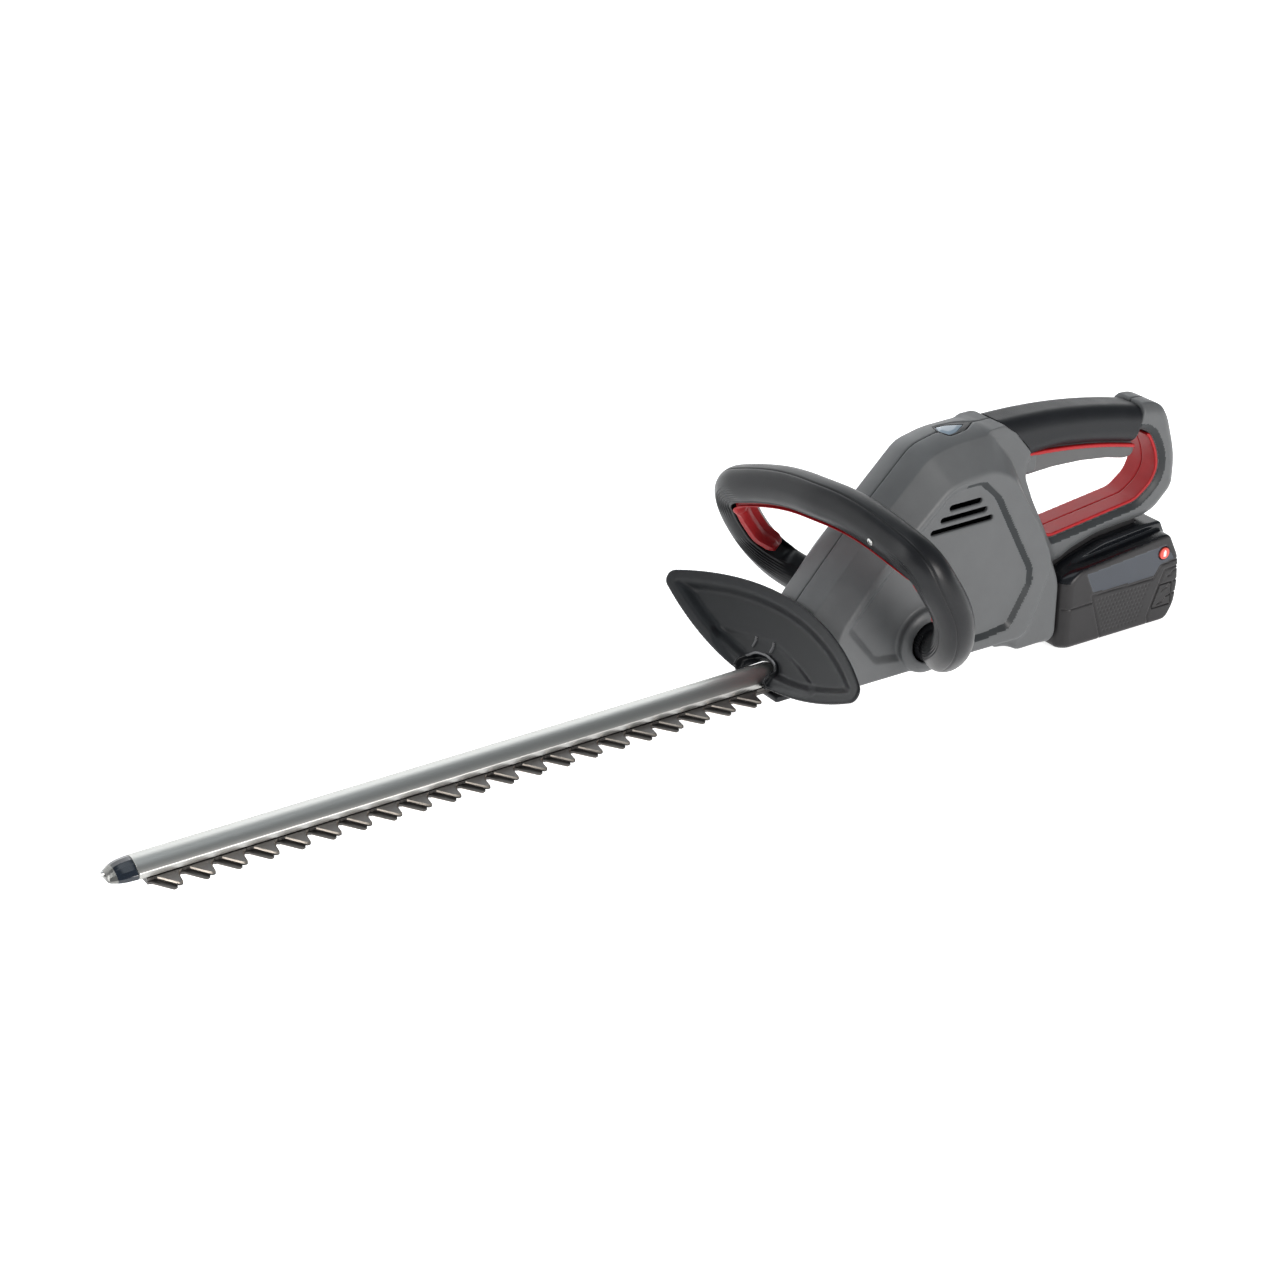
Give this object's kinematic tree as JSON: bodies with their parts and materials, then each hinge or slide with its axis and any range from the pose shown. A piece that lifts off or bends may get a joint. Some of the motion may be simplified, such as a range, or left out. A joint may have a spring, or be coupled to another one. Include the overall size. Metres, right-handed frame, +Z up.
{
  "type": "hedge trimmer",
  "caption": "Cordless hedge trimmer: single-sided reciprocating blade on an arched rail, wide hand guard, front loop handle, D-shaped rear handle with long trigger, slide-on battery.",
  "frame": {"origin": "bottom centre of the bounding box: the floor plane under the battery pack, midway along the length, on the middle plane", "axes": "-X towards the blade nose, +X to the rear handle, +Z up, -Y to the left of the operator"},
  "size_m": [0.917, 0.2628, 0.201],
  "materials": {
    "shell": "fine matte grain",
    "handle_black": "satin",
    "grip": "soft matte",
    "red": "satin",
    "trigger_grey": "satin",
    "lens": "clear",
    "board": "lacquered",
    "steel": "machined",
    "blade_steel": "ground",
    "aluminium": "satin anodised",
    "copper": "plain",
    "plate": "matte",
    "cap": "glossy",
    "pack": "satin",
    "cells": "sleeve"
  },
  "bodies": {
    "body": {"housing_left": "shell", "housing_right": "shell", "housing_screws": "steel", "liner_left": "red", "liner_right": "red", "grip_sleeve": "grip", "led_lens": "lens", "led_board": "board", "hand_guard": "handle_black", "guard_screws": "steel", "handle_front": "handle_black", "handle_rear": "handle_black", "handle_screws": "steel", "bail_switch": "pack", "bail_spring": "steel", "trigger_pin": "steel", "trigger_spring": "steel", "main_switch": "pack", "control_board": "board", "motor_can": "steel", "gear_axle": "steel", "gear_case": "aluminium", "gear_base": "plate", "rail": "aluminium", "guide_bar": "steel", "blade_bolts": "steel", "blade_nuts": "steel", "nose_cap": "cap", "nose_rivet": "steel", "dock": "pack", "dock_contacts": "copper"},
    "blade_high": {"upper_blade": "blade_steel"},
    "blade_low": {"lower_blade": "blade_steel"},
    "gear": {"drive_gear": "steel", "cam_upper": "steel", "cam_lower": "steel"},
    "rotor": {"motor_rotor": "copper", "pinion": "steel", "motor_fan": "pack"},
    "trigger_arm": {"trigger": "trigger_grey"},
    "bail": {"bail_lever": "red"},
    "pack": {"pack_top": "pack", "pack_bottom": "pack", "pack_cells": "cells", "cell_holder": "pack", "pack_board": "board", "pack_terminals": "copper", "release_springs": "steel"},
    "charge_key": {"charge_button": "red"},
    "release_l": {"release_left": "pack"},
    "release_r": {"release_right": "pack"}
  },
  "joints": [
    {"name": "upper_blade_slide", "type": "slide", "parent": "body", "child": "blade_high", "axis": [1, 0, 0], "range_m": [-0.004, 0.004]},
    {"name": "lower_blade_slide", "type": "slide", "parent": "body", "child": "blade_low", "axis": [1, 0, 0], "range_m": [-0.004, 0.004]},
    {"name": "drive_gear_spin", "type": "hinge", "parent": "body", "child": "gear", "pos_m": [0.1295, 0, 0.048], "axis": [0, 0, 1], "continuous": true},
    {"name": "motor_spin", "type": "hinge", "parent": "body", "child": "rotor", "pos_m": [0.1695, 0, 0.083], "axis": [0, 0, 1], "continuous": true},
    {"name": "trigger_press", "type": "hinge", "parent": "body", "child": "trigger_arm", "pos_m": [0.3065, 0, 0.163], "axis": [0, -1, 0], "range_deg": [0, 4], "stiffness_Nm_per_rad": 4, "springref_deg": -4.58},
    {"name": "bail_press", "type": "hinge", "parent": "body", "child": "bail", "pos_m": [0.1635, 0, 0.069], "axis": [0, 1, 0], "range_deg": [0, 2.2], "stiffness_Nm_per_rad": 3, "springref_deg": -4.58},
    {"name": "pack_slide", "type": "slide", "parent": "body", "child": "pack", "axis": [1, 0, 0], "range_m": [0, 0.1]},
    {"name": "charge_key_press", "type": "slide", "parent": "pack", "child": "charge_key", "axis": [0, 1, 0], "range_m": [0, 0.001], "stiffness_N_per_m": 400, "springref_m": -0.001},
    {"name": "release_left_press", "type": "slide", "parent": "pack", "child": "release_l", "axis": [0, 1, 0], "range_m": [0, 0.0025], "stiffness_N_per_m": 800, "springref_m": -0.002},
    {"name": "release_right_press", "type": "slide", "parent": "pack", "child": "release_r", "axis": [0, -1, 0], "range_m": [0, 0.0025], "stiffness_N_per_m": 800, "springref_m": -0.002}
  ],
  "couplings": [
    {"joint": "lower_blade_slide", "follows": "upper_blade_slide", "ratio": -1},
    {"joint": "motor_spin", "follows": "drive_gear_spin", "ratio": -3}
  ]
}
